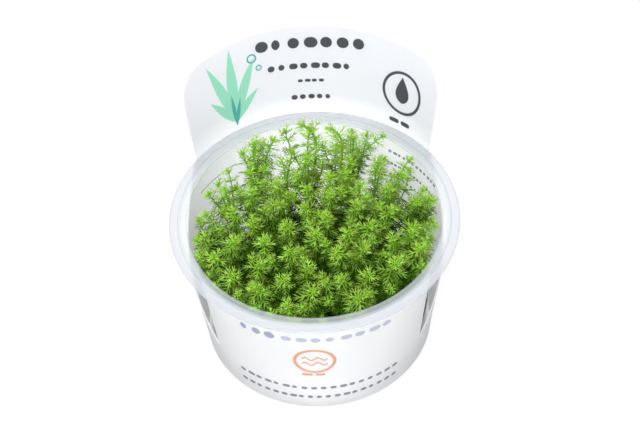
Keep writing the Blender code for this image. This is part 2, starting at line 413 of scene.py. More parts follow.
@dataclass(frozen=True)
class Ripple(Mark):
    """A short printed wavy line."""

    GROUP: ClassVar[str] = "print ripple"

    x: float
    y: float
    half_width: float
    swing: float
    wave: float
    line: float

    @classmethod
    def draw(cls, bench: NodeBench, place: Socket, *sizes: Socket) -> Socket:
        """Draw a line that swings up and down.

        Args:
            bench: The group's bench.
            place: The place on the card.
            *sizes: Middle x and y, half width, swing, wave length and width of line.

        Returns:
            The mask of the line.
        """
        x, y, half_width, swing, wave, line = sizes
        dx, dy = cls.offset(bench, place, x, y)
        phase = bench.math("MULTIPLY", bench.math("DIVIDE", dx, wave), TURN)
        swell = bench.math("MULTIPLY", bench.math("SINE", phase), swing)
        off = bench.math("SUBTRACT", bench.gap(dy, swell), bench.math("MULTIPLY", line, 0.5))
        end = bench.math("SUBTRACT", bench.math("ABSOLUTE", dx), half_width)
        return cls.fill(bench, bench.math("MAXIMUM", off, end))


HEADER_MARKS: tuple[Mark, ...] = (
    DashRow(Ink.CHARCOAL, -19.0, 21.5, 83.2, 2.1, 6.2, 3.0),
    DashRow(Ink.CHARCOAL, -15.0, 16.0, 73.9, 1.15, 4.1, 11.0),
    DashRow(Ink.CHARCOAL, -4.4, 5.6, 67.8, 0.60, 2.4, 5.0),
    DashRow(Ink.CHARCOAL, -7.0, 8.3, 61.2, 0.95, 3.0, 8.0),
    Blade(Ink.MINT, -28.0, 58.0, 25.5, 1.9, -19.0, bend=-1.6),
    Blade(Ink.MINT, -28.0, 57.5, 28.0, 2.1, -3.0, bend=0.8),
    Blade(Ink.MINT, -28.0, 58.0, 24.0, 1.9, 16.0, bend=2.0),
    Blade(Ink.MINT, -28.0, 57.5, 15.0, 1.5, -36.0, bend=-1.4),
    Blade(Ink.MINT, -28.0, 57.5, 14.0, 1.5, 34.0, bend=1.8),
    Blade(Ink.TEAL, -28.0, 56.0, 13.0, 0.8, -6.0),
    Blade(Ink.TEAL, -28.0, 56.0, 11.0, 0.8, 9.0, bend=0.5),
    Ring(Ink.TEAL, -20.6, 79.6, 1.5, 0.6),
    Ring(Ink.TEAL, -18.2, 75.6, 0.9, 0.5),
    Ring(Ink.CHARCOAL, 34.2, 68.6, 7.2, 1.0),
    Blade(Ink.CHARCOAL, 34.2, 64.9, 9.6, 2.7, 0.0, fullness=0.62),
    DashRow(Ink.CHARCOAL, 29.4, 39.0, 57.8, 0.8, 4.8, 2.0),
    DashRow(Ink.SLATE, -52.0, -32.0, 41.5, 0.14, 60.0, 4.0),
    DashRow(Ink.STEEL, -24.0, -15.0, 43.0, 0.75, 2.9, 21.0),
    DashRow(Ink.STEEL, -23.0, -16.0, 35.0, 0.60, 2.6, 47.0),
    DashRow(Ink.STEEL, 1.0, 9.5, 38.0, 0.60, 2.3, 83.0),
    DashRow(Ink.STEEL, 1.5, 9.0, 34.0, 0.50, 2.0, 12.0),
    DashRow(Ink.STEEL, 1.0, 9.0, 30.5, 0.50, 2.0, 35.0),
    DashRow(Ink.STEEL, 30.5, 57.0, 44.3, 0.55, 2.2, 61.0),
    DashRow(Ink.STEEL, 30.0, 57.0, 39.5, 0.50, 2.0, 74.0),
    DashRow(Ink.STEEL, 30.0, 56.0, 34.7, 0.50, 2.1, 91.0),
)

SKIRT_MARKS: tuple[Mark, ...] = (
    DashRow(Ink.LAVENDER, -27.5, -14.0, 44.7, 1.9, 5.0, 4.0),
    DashRow(Ink.PALE_LAVENDER, -12.5, 27.5, 44.7, 1.3, 5.0, 9.0),
    Ring(Ink.SALMON, -1.6, 31.0, 7.0, 1.2),
    Ripple(Ink.SALMON, -1.6, 32.6, 4.6, 0.9, 4.6, 0.9),
    Ripple(Ink.SALMON, -1.6, 29.4, 4.6, 0.9, 4.6, 0.9),
    DashRow(Ink.SALMON, -6.6, 3.4, 22.2, 0.7, 5.0, 6.0),
    DashRow(Ink.DUSK, -32.5, 32.5, 12.8, 0.85, 3.7, 14.0),
    DashRow(Ink.DUSK, -32.5, 32.5, 6.8, 0.85, 3.5, 31.0),
)


@dataclass(frozen=True)
class Grain:
    """Unevenness of a surface: the scales of its coarse and fine noise, and the bump that it raises."""

    DETAIL: ClassVar[tuple[float, float]] = (3.0, 2.0)
    MEAN: ClassVar[float] = 0.5

    coarse: float
    fine: float
    share_of_fine: float
    strength: float
    depth: float

    @classmethod
    def draw(cls, bench: NodeBench, coarse: Socket, fine: Socket, share_of_fine: Socket) -> Socket:
        """Draw slow and fine unevenness in one value around 0.

        Args:
            bench: The group's bench.
            coarse: Scale of the slow noise.
            fine: Scale of the fine noise.
            share_of_fine: How much the fine noise counts.

        Returns:
            The value.
        """
        place = bench.add("ShaderNodeTexCoord").outputs["Object"]
        slow, quick = [
            bench.math("SUBTRACT", bench.add("ShaderNodeTexNoise", {
                "Vector": place, "Scale": scale, "Detail": detail}).outputs["Fac"], cls.MEAN)
            for scale, detail in zip((coarse, fine), cls.DETAIL)]
        return bench.math("MULTIPLY_ADD", quick, share_of_fine, slow)

    def value(self, bench: NodeBench) -> Socket:
        """Place the shared mottle group in a material and give its value."""
        inputs = {"Coarse": self.coarse, "Fine": self.fine, "Share of Fine": self.share_of_fine}
        return bench.effect("mottle", "Value", inputs, self.draw)


@dataclass(frozen=True)
class Finish:
    """What every finish shares: a name, and a fresh Principled material with grain and uneven roughness."""

    name: str
    grain: Optional[Grain] = None
    roughness: tuple[float, float] = (0.5, 0.5)
    spread: float = 0.5

    def start(self) -> tuple[bpy.types.Material, NodeBench, bpy.types.Node, Optional[Socket]]:
        """Make the material.

        Returns:
            The material, a bench for its nodes, its Principled node and the value of its grain, if any.
        """
        material = bpy.data.materials.new(self.name)
        material.use_nodes = True
        bench = NodeBench(material.node_tree)
        shader = material.node_tree.nodes["Principled BSDF"]
        if self.grain is None:
            return material, bench, shader, None
        mottle = self.grain.value(bench)
        bump = bench.add("ShaderNodeBump", {"Height": mottle, "Strength": self.grain.strength,
                                            "Distance": self.grain.depth})
        bench.feed(shader.inputs["Normal"], bump.outputs[0])
        uneven = bench.between(mottle, -self.spread, self.spread, *self.roughness)
        bench.feed(shader.inputs["Roughness"], uneven)
        return material, bench, shader, mottle


@dataclass(frozen=True)
class PrintedCard(Finish):
    """Smooth white card with a faint fibre grain and what is printed on it; some light comes through it. Its
    lower part is painted lighter than the header above it: painted light.
    """

    grain: Grain = Grain(60.0, 2600.0, 0.6, 0.06, 0.0002)
    roughness: tuple[float, float] = (0.40, 0.52)
    spread: float = 0.6
    marks: tuple[Mark, ...] = ()
    white: Colour = screen_colour(236, 237, 240)
    # Painted light: below these heights the card is painted lighter than the header, as if more light fell on
    # it.
    low_white: Colour = screen_colour(251, 251, 253)
    painted_light_from: tuple[float, float] = (62.0, 54.0)
    fibre: Colour = (0.4, 0.4, 0.4)
    fibre_share: float = 0.02
    gloss: float = 0.4
    see_through: float = 0.58

    def build(self) -> bpy.types.Material:
        """Build the card's material.

        Returns:
            The material.
        """
        material, bench, shader, mottle = self.start()
        plane = bench.add("ShaderNodeUVMap", uv_map=CardSleeve.UV_NAME).outputs[0]
        scaled = bench.add("ShaderNodeVectorMath", {0: plane, 3: CardSleeve.UV_SPAN}, operation="SCALE")
        place = scaled.outputs[0]
        height = bench.add("ShaderNodeSeparateXYZ", {0: place}).outputs["Y"]
        # Painted light: the card turns lighter below the flange.
        paper_and_painted_light = bench.mix(bench.between(height, *self.painted_light_from), self.white, self.low_white)
        colour = bench.mix(bench.between(mottle, -0.5, 0.5, self.fibre_share, 0.0), paper_and_painted_light, self.fibre)
        for mark in self.marks:
            colour = bench.mix(mark.mask(bench, place), colour, mark.ink.value)
        bench.feed(shader.inputs["Base Color"], colour)
        shader.inputs["Specular IOR Level"].default_value = self.gloss
        through = bench.add("ShaderNodeBsdfTranslucent", {"Color": colour})
        mixed = bench.add("ShaderNodeMixShader", {
            0: self.see_through, 1: shader.outputs[0], 2: through.outputs[0]})
        bench.feed(bench.tree.nodes["Material Output"].inputs["Surface"], mixed.outputs[0])
        return material


@dataclass(frozen=True)
class ClearFinish(Finish):
    """A smooth clear material whose tint varies a little."""

    tint: Colour = screen_colour(236, 243, 246)
    shaded: float = 0.96
    body: float = 1.0
    passes: float = 0.0
    ior: float = 1.49

    def build(self) -> bpy.types.Material:
        """Build the material.

        Returns:
            The material.
        """
        material, bench, shader, mottle = self.start()
        darker = tuple(self.shaded * part for part in self.tint)
        tint = bench.mix(bench.between(mottle, -Grain.MEAN, Grain.MEAN), darker, self.tint)
        bench.feed(shader.inputs["Base Color"], tint)
        for socket, value in (("IOR", self.ior), ("Alpha", self.body), ("Transmission Weight", self.passes)):
            shader.inputs[socket].default_value = value
        return material


@dataclass(frozen=True)
class ClearPlastic(ClearFinish):
    """Thin moulded plastic, clear with a slight milkiness; thicker places have more body."""

    grain: Grain = Grain(35.0, 900.0, 0.35, 0.05, 0.0003)
    roughness: tuple[float, float] = (0.072, 0.168)
    body: float = 0.05


@dataclass(frozen=True)
class NutrientGel(ClearFinish):
    """Clear green gel with a wet surface; its dark tint is partly painted shade, darkening the gaps between
    the plants.
    """

    grain: Grain = Grain(120.0, 700.0, 0.4, 0.25, 0.0006)
    roughness: tuple[float, float] = (0.03, 0.10)
    # Painted shade: the dark green tint darkens the gel seen in the gaps between the plants.
    tint: Colour = (0.20, 0.30, 0.16)
    shaded: float = 0.9
    passes: float = 0.95
    ior: float = 1.34


@dataclass(frozen=True)
class LeafTissue(Finish):
    """Thin fresh leaf tissue: dark green low down and lime at the crowns, partly the leaves' own colour and
    partly painted shade low in the bunch; paler towards each tip and at the upper tips, partly painted light.
    """

    grain: Grain = Grain(260.0, 1800.0, 0.5, 0.2, 0.0001)
    roughness: tuple[float, float] = (0.34, 0.52)
    # Painted shade and light over the leaves' own greens: dark low in the bunch where shade falls, pale at
    # the upper tips where light falls.
    deep: Colour = screen_colour(20, 50, 2)
    shaded_low_tip: Colour = screen_colour(84, 138, 8)
    mature: Colour = screen_colour(100, 158, 8)
    crown: Colour = screen_colour(120, 184, 4)
    pale: Colour = screen_colour(206, 241, 116)
    stem: Colour = screen_colour(128, 180, 24)
    root: Colour = screen_colour(226, 226, 196)
    paling: float = 0.88
    stem_share: float = 0.55
    leaf_change: float = 0.44
    spot_change: float = 0.30
    hue_change: float = 0.022
    gloss: float = 0.15
    mature_growth: tuple[float, float] = (0.73, 0.95)
    crown_growth: tuple[float, float] = (0.86, 1.0)
    lit_tip_growth: tuple[float, float] = (0.74, 0.97)
    leaf_kind: tuple[float, float] = (0.45, 0.55)
    root_kind: tuple[float, float] = (0.10, 0.05)

    def build(self) -> bpy.types.Material:
        """Build the material of stems, leaves and roots.

        Returns:
            The material.
        """
        material, bench, shader, mottle = self.start()
        tone = bench.add("ShaderNodeAttribute", attribute_name=ShootMesh.TONE, attribute_type="GEOMETRY")
        growth, reach, draw = bench.add("ShaderNodeSeparateColor", {0: tone.outputs["Color"]}).outputs
        kind = tone.outputs["Alpha"]
        # Painted shade low down, and painted light at the upper tips and towards each tip, over the leaves'
        # own greens.
        low = bench.mix(bench.between(growth, *self.mature_growth), self.deep, self.mature)
        green = bench.mix(bench.between(growth, *self.crown_growth), low, self.crown)
        tip = bench.mix(bench.between(growth, *self.lit_tip_growth), self.shaded_low_tip, self.pale)
        leaf = bench.mix(bench.math("MULTIPLY", reach, self.paling), green, tip)
        stalk = bench.mix(self.stem_share, green, self.stem)
        colour = bench.mix(bench.between(kind, *self.leaf_kind), stalk, leaf)
        colour = bench.mix(bench.between(kind, *self.root_kind), colour, self.root)
        chance = bench.math("SUBTRACT", draw, 0.5)
        change = bench.math("ADD", bench.math("MULTIPLY", chance, self.leaf_change),
                            bench.math("MULTIPLY", mottle, self.spot_change))
        shaded = bench.add("ShaderNodeHueSaturation", {
            "Hue": bench.math("MULTIPLY_ADD", chance, self.hue_change, 0.5),
            "Value": bench.math("ADD", change, 1.0), "Color": colour})
        bench.feed(shader.inputs["Base Color"], shaded.outputs[0])
        shader.inputs["Specular IOR Level"].default_value = self.gloss
        return material


@dataclass(frozen=True)
class StudioFloor(Finish):
    """A plain white floor, lit from below except where the cup stands on it."""

    white: Colour = (0.14, 0.14, 0.14)
    matt: float = 0.9
    glow: float = 0.86
    front_glow: float = 1.2
    front: tuple[float, float] = (-0.120, -0.046)
    rear_glow: float = 3.8
    rear: tuple[float, float] = (0.056, 0.112)
    rear_half: float = 0.036
    unlit_radius: float = 0.0390
    soft: float = 0.004

    def build(self) -> bpy.types.Material:
        """Build the floor's material.

        Returns:
            The material.
        """
        material, bench, shader, _ = self.start()
        bench.feed(shader.inputs["Base Color"], self.white)
        shader.inputs["Roughness"].default_value = self.matt
        shader.inputs["Specular IOR Level"].default_value = 0.0
        shader.inputs["Emission Color"].default_value = (1.0, 1.0, 1.0, 1.0)
        place = bench.add("ShaderNodeNewGeometry").outputs["Position"]
        away = bench.add("ShaderNodeVectorMath", {0: place}, operation="LENGTH").outputs["Value"]
        beyond = bench.between(away, self.unlit_radius - self.soft / 2, self.unlit_radius + self.soft / 2)
        axes = bench.add("ShaderNodeSeparateXYZ", {0: place}).outputs
        across = bench.between(bench.math("ABSOLUTE", axes["X"]), self.rear_half + self.soft,
                               self.rear_half - self.soft)
        glow = self.glow
        for strip, extra, width in ((self.front, self.front_glow, 1.0), (self.rear, self.rear_glow, across)):
            starts = bench.between(axes["Y"], strip[0] - self.soft, strip[0] + self.soft)
            ends = bench.between(axes["Y"], strip[1] + self.soft, strip[1] - self.soft)
            inside = bench.math("MULTIPLY", bench.math("MULTIPLY", starts, ends), width)
            glow = bench.math("ADD", glow, bench.math("MULTIPLY", inside, extra))
        bench.feed(shader.inputs["Emission Strength"], bench.math("MULTIPLY", beyond, glow))
        return material


def arc(centre: tuple[float, float], radius: float, start: float, end: float, steps: int) -> Profile:
    """Give points of a circular arc in a profile plane.

    Args:
        centre: Its centre, as radius from the axis and height.
        radius: Its radius.
        start: Angle of the first point, in degrees.
        end: Angle of the last point, in degrees.
        steps: How many steps lie between them.

    Returns:
        The points, both ends included.
    """
    angles = [math.radians(start + (end - start) * step / steps) for step in range(steps + 1)]
    return [(centre[0] + radius * math.cos(angle), centre[1] + radius * math.sin(angle)) for angle in angles]


def turned_mesh(name: str, profile: Profile, segments: int, sharp_angle: float) -> bpy.types.Mesh:
    """Turn a profile about Z into a closed smooth mesh.

    Args:
        name: Name of the mesh.
        profile: Points as radius and height; the first and the last lie on the axis.
        segments: How many segments make a full turn.
        sharp_angle: Edges sharper than this stay sharp, in degrees.

    Returns:
        The mesh.
    """
    shape = bmesh.new()
    start = shape.verts.new((0.0, 0.0, profile[0][1]))
    end = shape.verts.new((0.0, 0.0, profile[-1][1]))
    angles = [TURN * segment / segments for segment in range(segments)]
    rings = [[shape.verts.new((radius * math.cos(angle), radius * math.sin(angle), height))
              for angle in angles] for radius, height in profile[1:-1]]
    for segment in range(segments):
        after = (segment + 1) % segments
        shape.faces.new((start, rings[0][segment], rings[0][after]))
        shape.faces.new((end, rings[-1][after], rings[-1][segment]))
        for lower, upper in zip(rings, rings[1:]):
            shape.faces.new((lower[segment], upper[segment], upper[after], lower[after]))
    bmesh.ops.recalc_face_normals(shape, faces=shape.faces[:])
    mesh = bpy.data.meshes.new(name)
    shape.to_mesh(mesh)
    shape.free()
    mesh.shade_smooth()
    mesh.set_sharp_from_angle(angle=math.radians(sharp_angle))
    return mesh


@dataclass
class CultureCup:
    """The clear cup: base with a foot ring, tapered wall, rounded lip and flat flange."""

    flange_radius: float = 0.0500
    flange_top: float = 0.0552
    flange_thickness: float = 0.0009
    lip_outer_radius: float = 0.0472
    lip_height: float = 0.0007
    lip_steps: int = 12
    round_steps: int = 8
    fillet_steps: int = 5
    inner_steps: int = 6
    inner_top_radius: float = 0.0439
    inner_base_radius: float = 0.0382
    wall: float = 0.0009
    base_thickness: float = 0.0012
    foot_round: float = 0.0022
    foot_ring: float = 0.0350
    foot_step: float = 0.0010
    recess: float = 0.0005
    fillet: float = 0.0008
    seam: float = 0.0002
    segments: int = 192
    sharp_angle: float = 38.0
    finishes: tuple[ClearPlastic, ...] = (
        ClearPlastic("clear moulded plastic"),
        # The lip's grey tint is partly painted shade, standing in for the shade that the thick bead refracts,
        # and partly the thicker plastic's own body.
        ClearPlastic("thick clear lip", roughness=(0.096, 0.224),
                     tint=screen_colour(206, 214, 218), body=0.38),
        ClearPlastic("milky clear flange", roughness=(0.12, 0.28),
                     tint=screen_colour(201, 205, 212), body=0.50),
    )

    def inner_radius(self, height: Union[float, np.ndarray]) -> Union[float, np.ndarray]:
        """Radius of the inner wall at a height."""
        share = (height - self.base_thickness) / (self.flange_top - self.base_thickness)
        return self.inner_base_radius + (self.inner_top_radius - self.inner_base_radius) * share

    def profile(self) -> Profile:
        """Draw the cup's section from the middle of the underside round to the middle of the inner floor.

        Returns:
            The section's points.
        """
        outer_foot = self.inner_radius(0.0) + self.wall
        under = self.flange_top - self.flange_thickness
        neck = self.inner_radius(under) + self.wall
        edge = self.flange_thickness / 2
        points = [(0.0, self.recess), (self.foot_ring - self.foot_step, self.recess), (self.foot_ring, 0.0)]
        points += arc((outer_foot - self.foot_round, self.foot_round), self.foot_round, -90, 0,
                      self.round_steps)
        points += arc((neck + self.fillet, under - self.fillet), self.fillet, 180, 90,
                      self.fillet_steps)
        points += arc((self.flange_radius - edge, under + edge), edge, -90, 90, self.round_steps)
        middle = (self.inner_top_radius + self.lip_outer_radius) / 2
        half = (self.lip_outer_radius - self.inner_top_radius) / 2
        for step in range(self.lip_steps + 1):
            angle = math.pi * step / self.lip_steps
            points.append((middle + half * math.cos(angle),
                           self.flange_top + self.lip_height * math.sin(angle)))
        inner_foot = self.inner_radius(self.base_thickness)
        inner_round = self.foot_round - self.wall
        points += arc((inner_foot - inner_round, self.base_thickness + inner_round), inner_round, 0, -90,
                      self.inner_steps)
        return points + [(0.0, self.base_thickness)]

    def build(self) -> bpy.types.Object:
        """Build the cup.

        Returns:
            The cup, in place of its solid.
        """
        mesh = turned_mesh("clear_cup", self.profile(), self.segments, self.sharp_angle)
        rim_foot = self.flange_top - self.flange_thickness - self.seam
        for face in mesh.polygons:
            if face.center.z > rim_foot:
                away = math.hypot(face.center.x, face.center.y)
                face.material_index = 1 if away < self.lip_outer_radius - self.seam else 2
        return place_piece("clear_cup", mesh, "cup", [finish.build() for finish in self.finishes])


@dataclass
class GelDisc:
    """The disc of gel in the bottom of the cup, with a low climb where it meets the wall."""

    cup: CultureCup
    top: float = 0.0130
    gap: float = 0.00012
    climb: float = 0.0007
    climb_width: float = 0.0018
    climb_steps: int = 6
    swell: float = 0.0002
    foot_round: float = 0.0016
    foot_steps: int = 6
    segments: int = 96
    sharp_angle: float = 45.0
    finish: NutrientGel = NutrientGel("nutrient gel")

    def build(self) -> bpy.types.Object:
        """Build the gel.

        Returns:
            The gel, in place of its solid.
        """
        foot = self.cup.base_thickness + self.gap
        foot_radius = self.cup.inner_radius(foot) - self.gap
        rim = self.cup.inner_radius(self.top) - self.gap
        profile = [(0.0, foot)]
        profile += arc((foot_radius - self.foot_round, foot + self.foot_round), self.foot_round, -90, 0,
                       self.foot_steps)
        for step in range(self.climb_steps + 1):
            share = step / self.climb_steps
            profile.append((rim - self.climb_width * share,
                            self.top + self.climb * ((1.0 - share) ** 2 - 1.0)))
        low = self.top - self.climb
        profile += [(share * rim, low + rise) for share, rise in (
            (0.75, self.swell), (0.50, 0.0), (0.25, self.swell), (0.0, 0.0))]
        mesh = turned_mesh("gel_disc", profile, self.segments, self.sharp_angle)
        return place_piece("gel_disc", mesh, "gel", [self.finish.build()])


@dataclass
class CardSleeve:
    """The white card: front panel, side windows, and a back panel that rises as the header.

    A place on the card is an angle from the middle of the back and a height; it is laid out flat, filled with
    triangles and bent round the cup.
    """

    UV_NAME: ClassVar[str] = "card_plane"
    UV_SPAN: ClassVar[float] = 100.0

    thickness: float = 0.0005
    base_radius: float = 0.0402
    rim_radius: float = 0.0459
    front_top: float = 0.0536
    front_half_angle: float = math.radians(56.3)
    window_foot: float = 0.0152
    window_straight: float = 0.80
    window_curved: float = 0.20
    window_power: int = 7
    back_half_width: float = 0.0484
    flange_radius: float = 0.0500
    flange_top: float = 0.0552
    flange_clearance: float = 0.0004
    lean_start: float = 0.0100
    lean_power: float = 1.15
    header_top: float = 0.0899
    header_corner: float = 0.0130
    header_top_arc: float = 0.1300
    header_spread: float = 0.45
    header_spread_growth: float = 25.0
    skirt_radius: float = 0.0450
    cell: float = 0.0021
    stagger: tuple[float, float] = (0.25, 0.75)
    clear_of_edge: float = 0.5
    fill_tolerance: float = 1e-7
    weld: float = 1e-6
    sharp_angle: float = 40.0
    finishes: tuple[PrintedCard, ...] = (
        PrintedCard("card outside", marks=SKIRT_MARKS),
        # The inside is painted lighter still below the flange: painted light on the inner wall.
        PrintedCard("card inside", marks=HEADER_MARKS, low_white=screen_colour(253, 254, 254)),
        PrintedCard("card edge"),
    )

    def __post_init__(self) -> None:
        """Work out what follows from the sizes."""
        self.neck_radius = self.flange_radius + self.flange_clearance + self.thickness / 2
        self.lean_run = self.flange_top - self.lean_start
        self.lean_push = self.neck_radius - self.cone_radius(self.flange_top)
        self.header_lean = ((self.rim_radius - self.base_radius) / self.front_top
                            + self.lean_power * self.lean_push / self.lean_run)
        self.back_half_angle = self.back_half_width / self.neck_radius

    def cone_radius(self, height: float) -> float:
        """Radius of the card's middle surface where it follows the cup."""
        return self.base_radius + (self.rim_radius - self.base_radius) * height / self.front_top

    def point(self, angle: float, height: float) -> Vector:
        """Bend a flat place of the card round the cup.

        Args:
            angle: Angle from the middle of the back.
            height: Height above the floor.

        Returns:
            The point of the card's middle surface.
        """
        if height <= self.flange_top:
            share = 1.0 - smooth_step(self.back_half_angle, math.pi - self.front_half_angle, abs(angle))
            climb = max(height - self.lean_start, 0.0) / self.lean_run
            radius = self.cone_radius(height) + share * self.lean_push * climb ** self.lean_power
            return Vector((radius * math.sin(angle), radius * math.cos(angle), height))
        rise = height - self.flange_top
        radius = self.neck_radius + self.header_spread * rise + self.header_spread_growth * rise * rise
        bend = angle * self.neck_radius / radius
        middle = self.neck_radius + self.header_lean * rise
        return Vector((radius * math.sin(bend), middle - radius * (1.0 - math.cos(bend)), height))

    def window_edge(self, share: float) -> float:
        """Height of a window's slanting lower edge, from the front panel at 0 to the back panel at 1."""
        climb = self.window_straight * share + self.window_curved * share ** self.window_power
        return self.window_foot + (self.flange_top - self.window_foot) * climb

    def header_outline(self) -> Profile:
        """Draw the right half of the header from its neck to its top.

        Returns:
            Its points, as length along the card and height.
        """
        rows, corner_steps, crown_steps = 8, 14, 18
        inner_x = self.back_half_width - self.header_corner
        crown_radius = self.header_top_arc - self.header_corner
        crown_angle = math.asin(inner_x / crown_radius)
        crown_centre = self.header_top - self.header_top_arc
        corner_z = crown_centre + crown_radius * math.cos(crown_angle)
        points = [(self.back_half_width, self.flange_top + (corner_z - self.flange_top) * row / rows)
                  for row in range(rows)]
        points += arc((inner_x, corner_z), self.header_corner, 0, 90 - math.degrees(crown_angle),
                      corner_steps)
        for step in range(1, crown_steps + 1):
            angle = crown_angle * (1.0 - step / crown_steps)
            points.append((self.header_top_arc * math.sin(angle),
                           crown_centre + self.header_top_arc * math.cos(angle)))
        return points

    def outline(self) -> Profile:
        """Draw the flat card, opened at the middle of the front.

        Returns:
            Its points, as angle and height.
        """
        front_steps, window_steps, base_steps, side_rows, seam_rows = 26, 26, 150, 16, 20
        front_edge = math.pi - self.front_half_angle
        half = [(math.pi - self.front_half_angle * step / front_steps, self.front_top)
                for step in range(front_steps + 1)]
        half += [(front_edge, self.front_top + (self.window_foot - self.front_top) * row / side_rows)
                 for row in range(1, side_rows + 1)]
        half += [(front_edge + (self.back_half_angle - front_edge) * (step / window_steps),
                  self.window_edge(step / window_steps)) for step in range(1, window_steps)]
        half += [(length / self.neck_radius, height) for length, height in self.header_outline()]
        mirrored = [(-angle, height) for angle, height in reversed(half[:-1])]
        base = [(-math.pi + TURN * step / base_steps, 0.0) for step in range(base_steps + 1)]
        seam = [self.front_top * row / seam_rows for row in range(seam_rows - 1, 0, -1)]
        right_seam = [(math.pi, height) for height in reversed(seam)]
        return base + right_seam + half + mirrored + [(-math.pi, height) for height in seam]

    def fill_points(self, outline: Profile) -> Profile:
        """Give evenly spaced places inside the flat outline, clear of its corners.

        Args:
            outline: The outline, as length along the card and height.

        Returns:
            The places.
        """
        corners = np.array(outline)
        after = np.roll(corners, -1, axis=0)
        columns = round(TURN * self.rim_radius / self.cell)
        points = []
        for row in range(1, int(self.header_top / self.cell) + 1):
            height = row * self.cell
            crosses = (corners[:, 1] > height) != (after[:, 1] > height)
            starts, ends = corners[crosses], after[crosses]
            steps = ends - starts
            edges = starts[:, 0] + (height - starts[:, 1]) * steps[:, 0] / steps[:, 1]
            for column in range(columns):
                x = self.rim_radius * (-math.pi + TURN * (column + self.stagger[row % 2]) / columns)
                away = np.hypot(corners[:, 0] - x, corners[:, 1] - height).min()
                near = away < self.clear_of_edge * self.cell
                if np.count_nonzero(edges > x) % 2 == 1 and not near:
                    points.append((x, height))
        return points

    def surface(self) -> tuple[bmesh.types.BMesh, bmesh.types.BMLayerItem]:
        """Fill the flat outline with triangles and bend it round the cup.

        Returns:
            The card's middle surface with its normals outwards, and the layer that holds each point's angle.
        """
        scale = self.rim_radius
        outline = [(angle * scale, height) for angle, height in self.outline()]
        ring = [(index, (index + 1) % len(outline)) for index in range(len(outline))]
        flat = [Vector(place) for place in outline + self.fill_points(outline)]
        inside_only = 1
        places, _, faces, *_ = delaunay_2d_cdt(flat, ring, [], inside_only, self.fill_tolerance)
        shape = bmesh.new()
        angles = shape.verts.layers.float.new("angle")
        for place in places:
            shape.verts.new(self.point(place.x / scale, place.y))[angles] = place.x / scale
        shape.verts.ensure_lookup_table()
        for face in faces:
            shape.faces.new([shape.verts[index] for index in face])
        bmesh.ops.remove_doubles(shape, verts=shape.verts[:], dist=self.weld)
        bmesh.ops.recalc_face_normals(shape, faces=shape.faces[:])
        shape.normal_update()
        front = max(shape.faces, key=lambda face: -face.calc_center_median().y)
        if front.normal.y > 0.0:
            bmesh.ops.reverse_faces(shape, faces=shape.faces[:])
            shape.normal_update()
        return shape, angles

    def thicken(self, shape: bmesh.types.BMesh, angles: bmesh.types.BMLayerItem) -> bpy.types.Mesh:
        """Give the bent surface its thickness, its printing plane and one material for each face of the card.

        Args:
            shape: The middle surface, its normals outwards.
            angles: The layer that holds each point's angle.

        Returns:
            The closed mesh.
        """
        shape.verts.index_update()
        count = len(shape.verts)
        half = self.thickness / 2
        points = [tuple(vert.co + vert.normal * offset) for offset in (half, -half) for vert in shape.verts]
        faces, kinds, plane = [], [], []
        for face in shape.faces:
            corners = [vert.index for vert in face.verts]
            middle = face.calc_center_median()
            around = math.atan2(middle.x, middle.y) if middle.z < self.flange_top else 0.0
            turned = [around + (vert[angles] - around + math.pi) % TURN - math.pi for vert in face.verts]
            heights = [vert.co.z for vert in face.verts]
            front = [angle - math.copysign(math.pi, around) for angle in turned]
            outside = [(-angle * self.skirt_radius, height) for angle, height in zip(front, heights)]
            inside = [(angle * self.neck_radius, height) for angle, height in zip(turned, heights)]
            faces += [corners, [index + count for index in reversed(corners)]]
            kinds += [CardFace.OUTSIDE, CardFace.INSIDE]
            plane += [outside, inside[::-1]]
        for edge in shape.edges:
            if edge.is_boundary:
                loop = edge.link_loops[0]
                first, second = loop.vert.index, loop.link_loop_next.vert.index
                faces.append([second, first, first + count, second + count])
                kinds.append(CardFace.CUT_EDGE)
                plane.append([(0.0, 0.0)] * 4)
        mesh = bpy.data.meshes.new("printed_card_sleeve")
        mesh.from_pydata(points, [], faces)
        mesh.polygons.foreach_set("material_index", [kind.value for kind in kinds])
        span = MILLIMETRE * self.UV_SPAN
        values = [part / span for corners in plane for place in corners for part in place]
        mesh.uv_layers.new(name=self.UV_NAME).data.foreach_set("uv", values)
        mesh.shade_smooth()
        mesh.set_sharp_from_angle(angle=math.radians(self.sharp_angle))
        return mesh

    def build(self) -> bpy.types.Object:
        """Build the card.

        Returns:
            The card, in place of its solid.
        """
        shape, angles = self.surface()
        mesh = self.thicken(shape, angles)
        shape.free()
        finishes = [finish.build() for finish in self.finishes]
        return place_piece("printed_card_sleeve", mesh, "card_sleeve", finishes)


class ShootMesh:
    """Gathers the points, faces and tones of one shoot."""

    TONE = "tissue_tone"

    def __init__(self) -> None:
        """Start empty."""
        self.points: list[np.ndarray] = []
        self.faces: list[np.ndarray] = []
        self.tones: list[np.ndarray] = []
        self.count = 0

    def add(self, points: np.ndarray, faces: np.ndarray, growth: Union[float, np.ndarray],
            reach: Union[float, np.ndarray], draw: float, tissue: Tissue) -> None:
        """Add a bit of mesh.

        Args:
            points: Its points.
            faces: Its triangles.
            growth: How far up the shoot it is, from 0 to 1.
            reach: How far out along its leaf it is, from 0 to 1.
            draw: Its own draw, from 0 to 1.
            tissue: What it is made of.
        """
        tones = np.empty((len(points), 4))
        for channel, value in enumerate((growth, reach, draw, tissue.value)):
            tones[:, channel] = value
        self.points.append(points)
        self.faces.append(faces + self.count)
        self.tones.append(tones)
        self.count += len(points)

    def mesh(self, name: str) -> bpy.types.Mesh:
        """Join everything into one smooth mesh.

        Args:
            name: Name of the mesh.

        Returns:
            The mesh, with the tones as an attribute of its points.
        """
        mesh = bpy.data.meshes.new(name)
        mesh.from_pydata(np.concatenate(self.points).tolist(), [], np.concatenate(self.faces).tolist())
        tone = mesh.attributes.new(self.TONE, "FLOAT_COLOR", "POINT")
        tone.data.foreach_set("color", np.concatenate(self.tones).astype(np.float32).ravel())
        mesh.shade_smooth()
        return mesh


